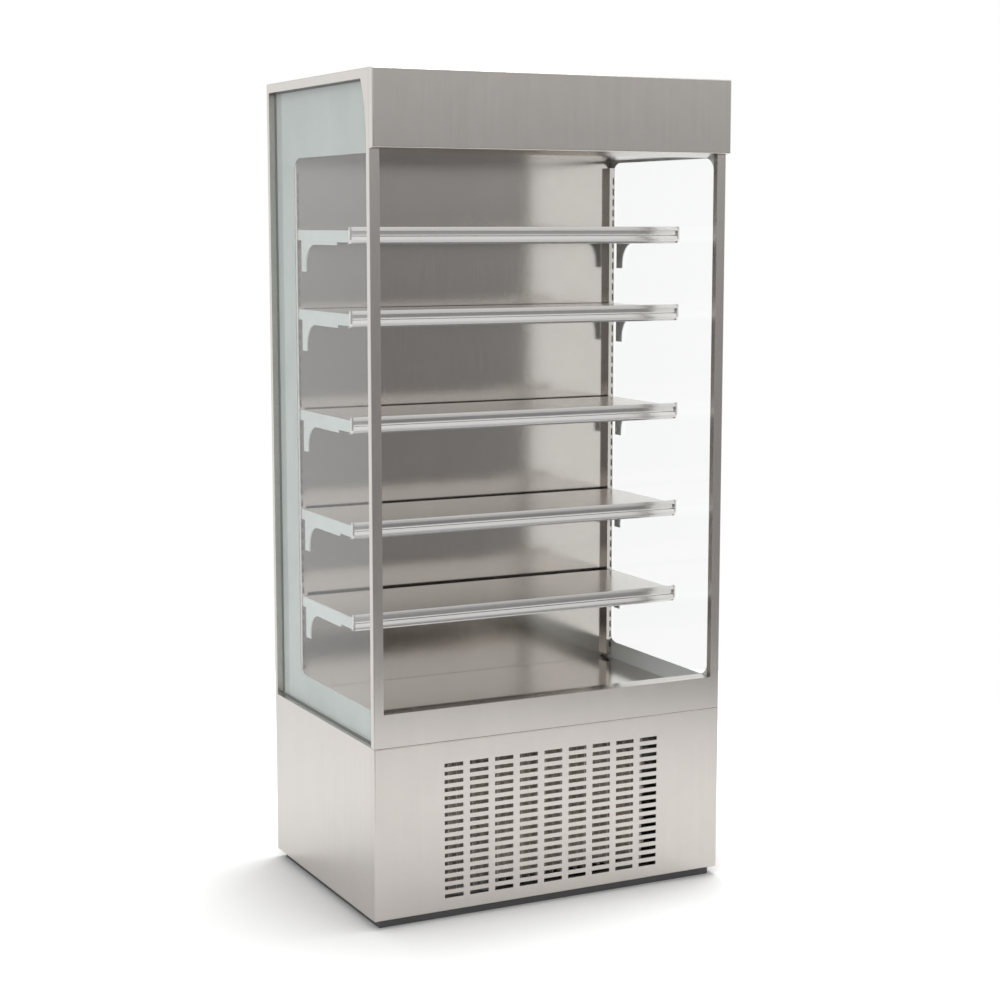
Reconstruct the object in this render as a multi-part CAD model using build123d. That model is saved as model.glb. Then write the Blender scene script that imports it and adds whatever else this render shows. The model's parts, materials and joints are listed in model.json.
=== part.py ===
from build123d import *
import math
import os

# Open multideck display fridge, free standing, with its condensing unit in the base.
# Millimetres. Origin: centre of the footprint on the floor. +Z up, front faces -Y, +X to the right.

# Overall envelope and sheet
WIDTH = 864.0
DEPTH = 610.0
HEIGHT = 1822.0
SHEET = 1.2
BEND = 3.0
FIT = 0.2

# Heights
PLINTH_HEIGHT = 19.0
BASE_HEIGHT = 381.0
SILL_HEIGHT = 73.0
DECK_DROP = 43.0
FLOOR_FOAM = 25.0
HEADER_HEIGHT = 161.0
CANOPY_FOAM = 42.0
BASE_TOP = PLINTH_HEIGHT + BASE_HEIGHT
SILL_TOP = BASE_TOP + SILL_HEIGHT
DECK_TOP = SILL_TOP - DECK_DROP
TUB_BOTTOM = BASE_TOP - DECK_DROP + 1
TUB_FLOOR = TUB_BOTTOM + FLOOR_FOAM
HEADER_BOTTOM = HEIGHT - HEADER_HEIGHT
SOFFIT = HEADER_BOTTOM - 4
ROOF_UNDER = HEIGHT - SHEET
FOAM_TOP = HEIGHT - CANOPY_FOAM

# Planes across the depth, front to back
HEADER_OVERHANG = 18.0
RETURN_REACH = 61.0
RETURN_DROP = 8.0
POST_WIDTH = 23.0
POST_DEPTH = 16.0
RAIL_SETBACK = 157.0
UPRIGHT_DEPTH = 19.0
DUCT_DEPTH = 69.0
BACK_FOAM = 43.0
HALF_W = WIDTH / 2
HEADER_Y = -DEPTH / 2
FRONT_Y = HEADER_Y + HEADER_OVERHANG
POST_BACK_Y = FRONT_Y + POST_DEPTH
BACK_Y = DEPTH / 2
REAR_SKIN_Y = BACK_Y - SHEET
DUCT_BACK_Y = BACK_Y - BACK_FOAM
LINER_Y = DUCT_BACK_Y - DUCT_DEPTH
UPRIGHT_Y = LINER_Y - UPRIGHT_DEPTH
RAIL_Y = FRONT_Y + RAIL_SETBACK

# Side glazing, measured inwards from the outer side face
RECESS = 15.5
GLASS = 4.0
LINER = 1.0
GASKET = 3.0
REAR_POST = 11.0
TOP_BAND = 19.0
CHEEK_FOOT = 19.0
CHEEK_SWEEP = 27.0
WINDOW_RADIUS = 34.0
GLASS_IN = HALF_W - RECESS - GLASS
LINER_IN = GLASS_IN - LINER
WINDOW_BACK_Y = LINER_Y - 8
WINDOW_BOTTOM = SILL_TOP - 1
WINDOW_TOP = HEADER_BOTTOM - 9
RECESS_TOP = ROOF_UNDER - TOP_BAND
RECESS_BACK_Y = REAR_SKIN_Y - REAR_POST

# Slot pattern of the service panel
SLOT_COLUMNS = 9
SLOT_ROWS = 17
SLOT_PITCH_X = 61.15
SLOT_PITCH_Z = 18.33
SLOT_W = 45.0
SLOT_H = 8.5
SLOT_FOOT = 33.6

# Shelves hang on uprights slotted every inch; each height is a share of the slots in use
INCH = 25.4
LOWEST_SHELF = 189.0
TOP_BAY = 150.0
LOWEST_RAIL_TOP = SILL_TOP + LOWEST_SHELF
SLOT_SPAN = int((SOFFIT - TOP_BAY - LOWEST_RAIL_TOP) / INCH)
SHELF_SHARES = (33 / 33, 26 / 33, 17 / 33, 8 / 33, 0 / 33)
RAIL_TOPS = [LOWEST_RAIL_TOP + round(SLOT_SPAN * share) * INCH for share in SHELF_SHARES]

# Shelf, bracket and upright sections
RAIL_LIP = 7.5
RAIL_THICK = 8.0
CAP = 4.0
BRACKET_T = 3.0
ARM_FRONT = 25.5
ARM_REAR = 32.0
ARM_STEP = 78.0
BRACKET_RADIUS = 50.0
BRACKET_DROP = 92.6
LEG_WIDTH = 25.0
TAB_DEPTH = 23.0
TAB_REACH = 20.0
HOOK_HEIGHT = 10.0
HOOK_DROP = 3.0
PAN_SHEET = 1.5
PAN_FLANGE = 22.0
UPRIGHT_T = 1.5
UPRIGHT_WIDTH = 14.0
SHELF_GAP = 2.8
BRACKET_OUT = LINER_IN - SHELF_GAP
BRACKET_IN = BRACKET_OUT - BRACKET_T
PAN_HALF = BRACKET_IN - 0.5
PAN_Y = RAIL_Y + RAIL_THICK + 0.5
UPRIGHT_OUT = LINER_IN - 0.3
UPRIGHT_IN = UPRIGHT_OUT - UPRIGHT_WIDTH
LEG_BACK_Y = UPRIGHT_Y - TAB_REACH
LEG_Y = LEG_BACK_Y - LEG_WIDTH
UPRIGHT_FOOT = DECK_TOP + 10
UPRIGHT_TOP = SOFFIT - 17

# Condensing unit behind the service panel
COIL_GAP = 29.0
COIL_DEPTH = 45.0
HOOD_DEPTH = 53.0
FAN_R = 115.0
FAN_DEPTH = 34.0
FAN_GAP = 6.0
MOTOR_LENGTH = 64.0
COIL_X0 = 157.0 - HALF_W
COIL_X1 = HALF_W - 187.0
COIL_Y0 = FRONT_Y + COIL_GAP
COIL_Y1 = COIL_Y0 + COIL_DEPTH
COIL_Z0 = PLINTH_HEIGHT + 36
COIL_Z1 = TUB_BOTTOM - 6
HOOD_Y1 = COIL_Y1 + HOOD_DEPTH
FAN_X = (COIL_X0 + COIL_X1) / 2
FAN_Z = (COIL_Z0 + COIL_Z1) / 2
FAN_Y = HOOD_Y1 + FAN_GAP
PAN_FLOOR = PLINTH_HEIGHT + SHEET

# Compressor
POT_R = 86.0
POT_HEIGHT = 184.0
COMP_X = HALF_W - 197
COMP_Y = BACK_Y - 215
COMP_BASE = PAN_FLOOR + 14
MOUNT_X = 84.0
MOUNT_Y = 56.0

# Electrical box and its rocker
BOX_X0 = HALF_W - 147
BOX_X1 = HALF_W - SHEET - FIT
BOX_Y0 = FRONT_Y + 25
BOX_DEPTH = 112.0
BOX_Z0 = COIL_Z0 + 115
BOX_Z1 = COIL_Z1 - 17
BOX_SHEET = 1.5
SWITCH_X = BOX_X0 + 63
SWITCH_Z = BOX_Z1 - 35
SWITCH_HALF = 13.0
SWITCH_TILT = 8.0
PIN_R = 1.5
PIN_PLAY = 0.06

# Evaporator in the rear duct
FIN_BASE = TUB_FLOOR + 47
FIN_HEIGHT = 120.0
DUCT_FAN_R = 30.0
DUCT_FAN_DEPTH = 15.0
DUCT_FAN_XS = (WIDTH * -0.22, WIDTH * 0.22)
DUCT_FAN_Z = TUB_FLOOR + 216
DUCT_MID_Y = (LINER_Y + LINER + DUCT_BACK_Y) / 2

os.makedirs("parts", exist_ok=True)


def block(x0, x1, y0, y1, z0, z1):
    """Box between two corners."""
    centre = Pos((x0 + x1) / 2, (y0 + y1) / 2, (z0 + z1) / 2)
    return centre * Box(x1 - x0, y1 - y0, z1 - z0)


def polygon(points):
    return make_face(Polyline(*points, close=True))


def side_prism(face, x0, x1):
    """Face drawn as (y, z), swept along X from x0 to x1."""
    return Pos(x0, 0, 0) * extrude(Plane.YZ * face, amount=x1 - x0)


def level_cylinder(x, y, z, radius, length):
    """Cylinder with its axis along Y."""
    return Pos(x, y, z) * (Rot(90, 0, 0) * Cylinder(radius, length))


def drum(radius, length, sides=24):
    """Many-sided prism about Z, centred like a cylinder."""
    return Pos(0, 0, -length / 2) * extrude(RegularPolygon(radius, sides), amount=length)


def level_drum(x, y, z, radius, length, sides=24):
    """Many-sided prism with its axis along Y."""
    return Pos(x, y, z) * (Rot(90, 0, 0) * drum(radius, length, sides))


def turned(rings, sides=24):
    """Many-sided solid about Z through rings given as height and radius."""
    turn = 2 * math.pi / sides
    loops = []
    for height, radius in rings:
        angles = [step * turn for step in range(sides)]
        loops.append([Vector(radius * math.cos(angle), radius * math.sin(angle), height) for angle in angles])
    walls = [Face(Wire.make_polygon(loop)) for loop in (loops[0], loops[-1])]
    for low, high in zip(loops, loops[1:]):
        for step in range(sides):
            after = (step + 1) % sides
            walls.append(Face(Wire.make_polygon([low[step], low[after], high[after], high[step]])))
    return Solid(Shell(walls))


def mirrored(shape):
    """Same shape on the other side of the cabinet."""
    return mirror(shape, about=Plane.YZ)


def side_flanges(half, sheet, y0, y1, z0, z1):
    """Pair of upright flanges, one inside each side edge."""
    right = block(half - sheet, half, y0, y1, z0, z1)
    return right + mirrored(right)


def tube(points, radius, cut=10.0):
    """Eight-sided tube along straight runs whose corners are cut off."""
    corners = [Vector(*point) for point in points]
    route = [corners[0]]
    for before, corner, after in zip(corners, corners[1:], corners[2:]):
        route.append(corner + (before - corner).normalized() * cut)
        route.append(corner + (after - corner).normalized() * cut)
    route.append(corners[-1])
    path = Polyline(*route)
    start = Plane(origin=path @ 0, z_dir=path % 0)
    return sweep(start * RegularPolygon(radius, 8), path=path, transition=Transition.RIGHT)


def write(name, *solids):
    """One STEP file per named piece."""
    shape = solids[0] if len(solids) == 1 else Compound(children=list(solids))
    shape.label = name
    export_step(shape, f"parts/{name}.step")


# ---------------------------------------------------------------- base


def plinth_frame():
    """Four folded channels under the base pan, open downwards, set back all round."""
    inset = 15.0
    rail = 40.0
    wall = 2.0
    x = HALF_W - inset
    y0 = FRONT_Y + inset
    y1 = BACK_Y - inset
    rails = []
    for low in (y0, y1 - rail):
        channel = block(-x, x, low, low + rail, 0, PLINTH_HEIGHT)
        hollow = block(-x + wall, x - wall, low + wall, low + rail - wall, 0, PLINTH_HEIGHT - wall)
        rails.append(channel - hollow)
    for low in (-x, x - rail):
        channel = block(low, low + rail, y0 + rail, y1 - rail, 0, PLINTH_HEIGHT)
        sides = (low + wall, low + rail - wall)
        hollow = block(*sides, y0 + rail + wall, y1 - rail - wall, 0, PLINTH_HEIGHT - wall)
        rails.append(channel - hollow)
    return rails


def base_pan():
    """Floor of the machine compartment with an upturned rim."""
    rim = PLINTH_HEIGHT + 26
    x = HALF_W - SHEET
    y0 = POST_BACK_Y + 1
    y1 = REAR_SKIN_Y
    outer = block(-x, x, y0, y1, PLINTH_HEIGHT, rim)
    inner = block(-x + SHEET, x - SHEET, y0 + SHEET, y1 - SHEET, PAN_FLOOR, rim)
    return outer - inner


def side_panel():
    """Lower right side: wall, front flange and the ledge the glazing stands on."""
    y0 = POST_BACK_Y - 0.5
    flange = 16.0
    wall = block(HALF_W - SHEET, HALF_W, y0, REAR_SKIN_Y, PLINTH_HEIGHT, BASE_TOP)
    ledge = block(GLASS_IN + FIT, HALF_W, y0, REAR_SKIN_Y, BASE_TOP - SHEET, BASE_TOP)
    front = block(HALF_W - flange, HALF_W, y0, y0 + SHEET, PLINTH_HEIGHT, BASE_TOP)
    return wall + ledge + front


def slot_cutters():
    """Nine columns of seventeen horizontal slots."""
    cutters = []
    first_x = -SLOT_PITCH_X * (SLOT_COLUMNS - 1) / 2
    first_z = PLINTH_HEIGHT + SLOT_FOOT
    for column in range(SLOT_COLUMNS):
        for row in range(SLOT_ROWS):
            centre = Pos(first_x + column * SLOT_PITCH_X, FRONT_Y, first_z + row * SLOT_PITCH_Z)
            cutters.append(centre * Box(SLOT_W, 4 * SHEET, SLOT_H))
    return cutters


def service_panel():
    """Front cover of the base: folded tray with rounded bends and punched air slots."""
    z0 = PLINTH_HEIGHT + 0.5
    z1 = BASE_TOP - 0.5
    back = POST_BACK_Y - 0.8
    outer = block(-HALF_W, HALF_W, FRONT_Y, back, z0, z1)
    outer = fillet(outer.faces().sort_by(Axis.Y)[0].edges(), BEND)
    x = HALF_W - SHEET
    inner = block(-x, x, FRONT_Y + SHEET, back + 1, z0 + SHEET, z1 - SHEET)
    inner = fillet(inner.faces().sort_by(Axis.Y)[0].edges(), BEND - SHEET)
    return outer - inner - slot_cutters()


def rear_vent_panel():
    """Lower rear cover with a block of warm-air slots."""
    columns = 5
    rows = 5
    pitch_x = 90.0
    pitch_z = 30.0
    sheet = block(-HALF_W, HALF_W, REAR_SKIN_Y, BACK_Y, PLINTH_HEIGHT, BASE_TOP - FIT)
    middle = (PLINTH_HEIGHT + BASE_TOP) / 2
    cutters = []
    for column in range(columns):
        for row in range(rows):
            x = (column - (columns - 1) / 2) * pitch_x
            z = middle + (row - (rows - 1) / 2) * pitch_z
            cutters.append(Pos(x, BACK_Y, z) * Box(66, 4 * SHEET, 9))
    return sheet - cutters


def tub_support():
    """Sheet across the base that carries the insulated well, with side flanges."""
    x = HALF_W - SHEET
    y0 = POST_BACK_Y + 3
    sheet = block(-x, x, y0, REAR_SKIN_Y, TUB_BOTTOM - SHEET, TUB_BOTTOM)
    return sheet + side_flanges(x, SHEET, y0, REAR_SKIN_Y, TUB_BOTTOM - 20, TUB_BOTTOM)


# ---------------------------------------------------------------- front, sides and header


def front_corners(shape):
    """Front pair of vertical edges."""
    return shape.edges().filter_by(Axis.Z).sort_by(Axis.Y)[:2]


def front_frame():
    """Two posts, the sill and the hidden head rail, folded from one sheet."""
    half = HALF_W - POST_WIDTH
    head = HEADER_BOTTOM + 4
    back = POST_BACK_Y + 1
    x = HALF_W - SHEET
    outer = block(-HALF_W, HALF_W, FRONT_Y, POST_BACK_Y, BASE_TOP, ROOF_UNDER)
    outer = fillet(front_corners(outer), BEND)
    hollow = block(-x, x, FRONT_Y + SHEET, back, BASE_TOP + SHEET, ROOF_UNDER - SHEET)
    hollow = fillet(front_corners(hollow), BEND - SHEET)
    jamb = half + SHEET
    kept = block(-jamb, jamb, FRONT_Y, back, SILL_TOP - SHEET, head + SHEET)
    opening = block(-half, half, FRONT_Y - 1, back, SILL_TOP, head)
    return outer - (hollow - kept) - opening


def recess_outline(inset):
    """Outline of the glazing recess; its front edge curves back behind the header."""
    y0 = POST_BACK_Y + inset
    y1 = RECESS_BACK_Y - inset
    z0 = BASE_TOP + inset
    z1 = RECESS_TOP - inset
    foot = (y0, HEADER_BOTTOM + CHEEK_FOOT)
    shoulder = (y0 + CHEEK_SWEEP, z1)
    middle = (y0 + 0.28 * CHEEK_SWEEP, foot[1] + 0.54 * (z1 - foot[1]))
    straight = Polyline(foot, (y0, z0), (y1, z0), (y1, z1), shoulder)
    cheek = ThreePointArc(shoulder, middle, foot)
    return make_face([*straight.edges(), cheek])


def side_frame():
    """Right upper frame: rear post, top band and the cheek behind the header, hollow inside."""
    outer = polygon(
        [
            (POST_BACK_Y, BASE_TOP),
            (REAR_SKIN_Y, BASE_TOP),
            (REAR_SKIN_Y, ROOF_UNDER),
            (POST_BACK_Y, ROOF_UNDER),
        ]
    )
    ring = side_prism(outer - recess_outline(0), GLASS_IN, HALF_W)
    x0 = GLASS_IN - 1
    x1 = HALF_W - SHEET
    y0 = POST_BACK_Y + SHEET
    y1 = REAR_SKIN_Y - SHEET
    z1 = ROOF_UNDER - SHEET
    band = RECESS_TOP + SHEET
    foot = HEADER_BOTTOM + CHEEK_FOOT
    third = (RECESS_TOP - foot) / 3
    rear = block(x0, x1, RECESS_BACK_Y + SHEET, y1, BASE_TOP + SHEET, z1)
    top = block(x0, x1, y0, y1, band, z1)
    cheek = polygon(
        [
            (y0, band + 1),
            (y0 + CHEEK_SWEEP - 4, band + 1),
            (y0 + 0.42 * CHEEK_SWEEP, foot + 2.25 * third),
            (y0 + 0.1 * CHEEK_SWEEP, foot + 1.35 * third),
            (y0, foot + third),
        ]
    )
    return ring - rear - top - side_prism(cheek, x0, x1)


def side_glass():
    """Right side pane, full height of the recess."""
    return side_prism(recess_outline(GASKET), GLASS_IN, GLASS_IN + GLASS)


def glazing_gasket():
    """Rubber bead round the edge of the right pane."""
    ring = recess_outline(0) - recess_outline(GASKET)
    return side_prism(ring, GLASS_IN, GLASS_IN + GLASS + 1)


def side_liner():
    """Right inner skin with a rounded window, seen through the glass as its border."""
    y0 = POST_BACK_Y + FIT
    y1 = RECESS_BACK_Y - 1
    face = polygon([(y0, TUB_BOTTOM), (y1, TUB_BOTTOM), (y1, RECESS_TOP), (y0, RECESS_TOP)])
    window_y = POST_BACK_Y + 2
    centre = Pos((window_y + WINDOW_BACK_Y) / 2, (WINDOW_BOTTOM + WINDOW_TOP) / 2)
    size = (WINDOW_BACK_Y - window_y, WINDOW_TOP - WINDOW_BOTTOM)
    window = centre * RectangleRounded(*size, WINDOW_RADIUS)
    return side_prism(face - window, LINER_IN, GLASS_IN)


def header_fascia():
    """Folded header: face, ends, top flange and an under-return that slopes down to the back."""
    slope = RETURN_DROP / RETURN_REACH

    def under(y):
        return HEADER_BOTTOM - slope * (y - HEADER_Y)

    back = FRONT_Y - FIT
    low = under(back)
    outer = polygon([(back, HEIGHT), (HEADER_Y, HEIGHT), (HEADER_Y, HEADER_BOTTOM), (back, low)])
    y0 = HEADER_Y + SHEET
    y1 = FRONT_Y + 1
    inner = polygon(
        [(y1, HEIGHT - SHEET), (y0, HEIGHT - SHEET), (y0, HEADER_BOTTOM + SHEET), (y1, low + SHEET)]
    )
    skin = side_prism(outer, -HALF_W, HALF_W)
    skin = fillet(skin.faces().sort_by(Axis.Y)[0].edges(), BEND)
    core = side_prism(inner, -HALF_W + SHEET, HALF_W - SHEET)
    core = fillet(core.faces().sort_by(Axis.Y)[0].edges(), BEND - SHEET)
    near = FRONT_Y - 2
    far = HEADER_Y + RETURN_REACH
    flap = polygon(
        [(near, under(near)), (far, under(far)), (far, under(far) + SHEET), (near, under(near) + SHEET)]
    )
    half = HALF_W - POST_WIDTH - 0.5
    return skin - core + side_prism(flap, -half, half)


def roof_panel():
    return block(-HALF_W, HALF_W, FRONT_Y, BACK_Y, ROOF_UNDER, HEIGHT)


def back_panel():
    """Upper rear skin with two shallow stiffening swages."""
    sheet = block(-HALF_W, HALF_W, REAR_SKIN_Y, BACK_Y, BASE_TOP, ROOF_UNDER)
    middle = (BASE_TOP + HEIGHT) / 2
    length = (HEIGHT - BASE_TOP) * 0.83
    for x in (WIDTH * -0.17, WIDTH * 0.17):
        sheet -= Pos(x, BACK_Y, middle) * Box(24, 0.8, length)
    return sheet


# ---------------------------------------------------------------- insulated body


def insulation_tub():
    """Foam floor of the well and its upstand behind the sill."""
    y0 = POST_BACK_Y + FIT
    floor = block(-LINER_IN, LINER_IN, y0, DUCT_BACK_Y, TUB_BOTTOM, TUB_FLOOR)
    upstand = block(-LINER_IN, LINER_IN, y0, y0 + FLOOR_FOAM, TUB_FLOOR, SILL_TOP - 5)
    return floor + upstand


def insulation_back():
    return block(-LINER_IN, LINER_IN, DUCT_BACK_Y, REAR_SKIN_Y, TUB_BOTTOM, FOAM_TOP)


def insulation_canopy():
    y0 = POST_BACK_Y + FIT
    return block(-LINER_IN, LINER_IN, y0, REAR_SKIN_Y, FOAM_TOP, ROOF_UNDER)


def back_liner():
    """Polished inner back with side returns; openings at its foot draw air to the coil."""
    x = LINER_IN - FIT
    sheet = block(-x, x, LINER_Y, LINER_Y + LINER, TUB_FLOOR, SOFFIT)
    sheet += side_flanges(x, LINER, LINER_Y, DUCT_BACK_Y - FIT, TUB_FLOOR, SOFFIT)
    openings = 6
    pitch = 2 * x / (openings + 0.4)
    for index in range(openings):
        middle = (index - (openings - 1) / 2) * pitch
        sheet -= Pos(middle, LINER_Y, TUB_FLOOR + 22) * Box(pitch - 20, 6, 30)
    return sheet


LED_Y0 = HEADER_Y + RETURN_REACH + FIT
LED_Y1 = LED_Y0 + 34.6
GRID_Y0 = LED_Y1 + FIT
GRID_Y1 = GRID_Y0 + 58.8


def canopy_soffit():
    """Inner ceiling with an upturned front lip beside the air outlet."""
    x = LINER_IN - FIT
    y0 = GRID_Y1 + FIT
    sheet = block(-x, x, y0, LINER_Y + LINER, SOFFIT, SOFFIT + LINER)
    return sheet + block(-x, x, y0, y0 + LINER, SOFFIT, SOFFIT + 24)


def air_outlet_honeycomb():
    """Grid that straightens the air curtain leaving the canopy."""
    columns = 20
    rows = 2
    wall = 3.0
    depth = 22.0
    x = LINER_IN - 2 * FIT
    grid = block(-x, x, GRID_Y0, GRID_Y1, SOFFIT, SOFFIT + depth)
    pitch_x = (2 * x - wall) / columns
    pitch_y = (GRID_Y1 - GRID_Y0 - wall) / rows
    cells = []
    for column in range(columns):
        for row in range(rows):
            cell_x = -x + wall / 2 + pitch_x * (column + 0.5)
            cell_y = GRID_Y0 + wall / 2 + pitch_y * (row + 0.5)
            centre = Pos(cell_x, cell_y, SOFFIT + depth / 2)
            cells.append(centre * Box(pitch_x - wall, pitch_y - wall, depth + 2))
    return grid - cells


def led_profile():
    """Aluminium channel for the lamp, open downwards, between header and air outlet."""
    wall = 2.0
    height = 15.0
    x = LINER_IN - 2 * FIT
    outer = block(-x, x, LED_Y0, LED_Y1, SOFFIT, SOFFIT + height)
    inner = block(-x + wall, x - wall, LED_Y0 + wall, LED_Y1 - wall, SOFFIT - 1, SOFFIT + height - wall)
    return outer - inner


def led_diffuser():
    """Opal strip snapped into the lamp channel."""
    x = LINER_IN - 2.6
    return block(-x, x, LED_Y0 + 2.1, LED_Y1 - 2.1, SOFFIT + 1, SOFFIT + 4)


def well_liner():
    """Sill cap and front skin of the well."""
    x = LINER_IN - FIT
    inner = POST_BACK_Y + FLOOR_FOAM + FIT
    cap = block(-x, x, POST_BACK_Y + 0.1, inner + LINER, SILL_TOP - LINER, SILL_TOP)
    return cap + block(-x, x, inner, inner + LINER, TUB_FLOOR, SILL_TOP)


# ---------------------------------------------------------------- shelves


def upright():
    """Right slotted upright: slim channel with a hook slot in its front wall every inch."""
    wall = UPRIGHT_T
    slot_x = (BRACKET_IN + BRACKET_OUT) / 2
    outer = block(UPRIGHT_IN, UPRIGHT_OUT, UPRIGHT_Y, LINER_Y, UPRIGHT_FOOT, UPRIGHT_TOP)
    sides = (UPRIGHT_IN + wall, UPRIGHT_OUT - wall)
    inner = block(*sides, UPRIGHT_Y + wall, LINER_Y + 1, UPRIGHT_FOOT - 1, UPRIGHT_TOP + 1)
    slots = []
    margin = 10.0
    slot_z = LOWEST_RAIL_TOP - RAIL_LIP - TAB_DEPTH / 2
    while slot_z - INCH > UPRIGHT_FOOT + margin:
        slot_z -= INCH
    while slot_z < UPRIGHT_TOP - margin:
        slots.append(Pos(slot_x, UPRIGHT_Y, slot_z) * Box(BRACKET_T + 1, 3 * wall, 16))
        slot_z += INCH
    return outer - inner - slots


def bracket(rail_top):
    """Right bracket: L plate with a large inner fillet, a rear tab with its hook and a pan ledge."""
    top = rail_top - RAIL_LIP
    foot = top - BRACKET_DROP
    shoulder = top - ARM_REAR
    tab_y = UPRIGHT_Y - 0.3
    step_y = RAIL_Y + ARM_STEP
    centre_y = LEG_Y - BRACKET_RADIUS
    centre_z = shoulder - BRACKET_RADIUS
    diagonal = BRACKET_RADIUS * math.sqrt(0.5)
    outline = Polyline(
        (LEG_Y, centre_z),
        (LEG_Y, foot),
        (LEG_BACK_Y, foot),
        (LEG_BACK_Y, top - TAB_DEPTH),
        (tab_y, top - TAB_DEPTH),
        (tab_y, top),
        (PAN_Y, top),
        (PAN_Y, top - ARM_FRONT),
        (step_y, top - ARM_FRONT),
        (step_y, shoulder),
        (centre_y, shoulder),
    )
    on_arc = (centre_y + diagonal, centre_z + diagonal)
    inner = ThreePointArc((centre_y, shoulder), on_arc, (LEG_Y, centre_z))
    plate = side_prism(make_face([*outline.edges(), inner]), BRACKET_IN, BRACKET_OUT)
    hook_top = top - TAB_DEPTH / 2 + HOOK_HEIGHT / 2
    hook_foot = hook_top - HOOK_HEIGHT
    behind_y = UPRIGHT_Y + UPRIGHT_T + 0.3
    tip_y = behind_y + 5
    hook = polygon(
        [
            (tab_y - 1, hook_top),
            (tip_y, hook_top),
            (tip_y, hook_foot - HOOK_DROP),
            (behind_y, hook_foot - HOOK_DROP),
            (behind_y, hook_foot),
            (tab_y - 1, hook_foot),
        ]
    )
    plate += side_prism(hook, BRACKET_IN, BRACKET_OUT)
    ledge_z = top - PAN_FLANGE
    return plate + block(BRACKET_IN - 12, BRACKET_IN, RAIL_Y + 20, LEG_Y - 29, ledge_z - 1.5, ledge_z)


def shelf_pan(rail_top):
    """Folded shelf that stands on the bracket ledges, with two hat stiffeners underneath."""
    top = rail_top - RAIL_LIP
    under = top - PAN_SHEET
    rear = UPRIGHT_Y - 2
    pan = block(-PAN_HALF, PAN_HALF, PAN_Y, rear, under, top)
    pan += block(-PAN_HALF, PAN_HALF, rear - PAN_SHEET, rear, top - PAN_FLANGE, top)
    pan += block(-PAN_HALF, PAN_HALF, PAN_Y, PAN_Y + PAN_SHEET, top - PAN_FLANGE, top)
    pan += side_flanges(PAN_HALF, PAN_SHEET, PAN_Y, rear, top - PAN_FLANGE, top)
    reach = PAN_HALF - 25
    hat_half = 16.0
    hat_drop = 11.0
    for share in (0.28, 0.66):
        y = PAN_Y + share * (UPRIGHT_Y - PAN_Y)
        hat = block(-reach, reach, y - hat_half, y + hat_half, under - hat_drop, under)
        core = hat_half - PAN_SHEET
        hat -= block(-reach - 1, reach + 1, y - core, y + core, under - hat_drop + PAN_SHEET, under)
        pan += hat
    return pan


def price_rail(rail_top):
    """Extruded front rail: top lip, hollow ticket groove, lower bead and under-lip; end caps."""

    def at(depth, drop):
        return (RAIL_Y + depth, rail_top - drop)

    lip = Polyline(at(2.5, 8.5), at(2.5, 0), at(0, 0), at(0, 9))
    groove = ThreePointArc(at(0, 9), at(4.8, 15), at(0.4, 21))
    bead = Polyline(at(0.4, 21), at(0, 22), at(0, 28))
    heel = ThreePointArc(at(0, 28), at(2.6, 34.2), at(8, 37.5))
    under_lip = Polyline(at(8, 37.5), at(24, 38.5), at(24, 36.8), at(9.5, 35.6))
    back = Polyline(at(9.5, 35.6), at(RAIL_THICK, 33), at(RAIL_THICK, 8.5), at(2.5, 8.5))
    outline = [*lip.edges(), groove, *bead.edges(), heel, *under_lip.edges(), *back.edges()]
    length = BRACKET_OUT - CAP
    rail = side_prism(make_face(outline), -length, length)
    corners = [at(-FIT, -FIT), at(-FIT, 28.5), at(3, 35.5), at(RAIL_THICK, 38), at(RAIL_THICK, -FIT)]
    cap = side_prism(polygon(corners), length, BRACKET_OUT)
    return rail, cap, mirrored(cap)


DECK_Y0 = FRONT_Y + 97


def deck_pan():
    """Lift-out floor of the well on two deep side flanges, notched round the uprights."""
    x = LINER_IN - 1
    notch_x = UPRIGHT_IN - 1.5
    notch_y = UPRIGHT_Y - 1.5
    pan = block(-x, x, DECK_Y0, notch_y, DECK_TOP - PAN_SHEET, DECK_TOP)
    pan += block(-notch_x, notch_x, notch_y, LINER_Y - 1, DECK_TOP - PAN_SHEET, DECK_TOP)
    pan += block(-x, x, DECK_Y0, DECK_Y0 + PAN_SHEET, DECK_TOP - 16, DECK_TOP)
    return pan + side_flanges(x, PAN_SHEET, DECK_Y0, notch_y, TUB_FLOOR, DECK_TOP)


def return_air_grille():
    """Slotted strip between sill and deck that takes the air curtain back."""
    x = LINER_IN - 1
    y0 = POST_BACK_Y + FLOOR_FOAM + 2
    y1 = DECK_Y0 - 1
    strip = block(-x, x, y0, y1, DECK_TOP - PAN_SHEET, DECK_TOP)
    strip += side_flanges(x, PAN_SHEET, y0, y1, TUB_FLOOR, DECK_TOP)
    count = 24
    pitch = (2 * x - 40) / count
    slots = []
    for index in range(count):
        middle = (index - (count - 1) / 2) * pitch
        slots.append(Pos(middle, (y0 + y1) / 2, DECK_TOP) * Box(pitch / 2, y1 - y0 - 14, 10))
    return strip - slots


# ---------------------------------------------------------------- cooling


def finned_core(x0, x1, y0, y1, z0, z1, pitch, fin):
    """Fin pack: grooves cut from both faces down to the tube plane."""
    web = 4.0
    middle = (y0 + y1) / 2
    core = block(x0, x1, y0, y1, z0, z1)
    count = int((x1 - x0 - fin) / pitch)
    margin = (x1 - x0 - count * pitch + fin) / 2
    grooves = []
    for index in range(count):
        left = x0 + margin + index * pitch
        right = left + pitch - fin
        grooves.append(block(left, right, y0 - 1, middle - web / 2, z0 - 1, z1 + 1))
        grooves.append(block(left, right, middle + web / 2, y1 + 1, z0 - 1, z1 + 1))
    return core - grooves


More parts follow.
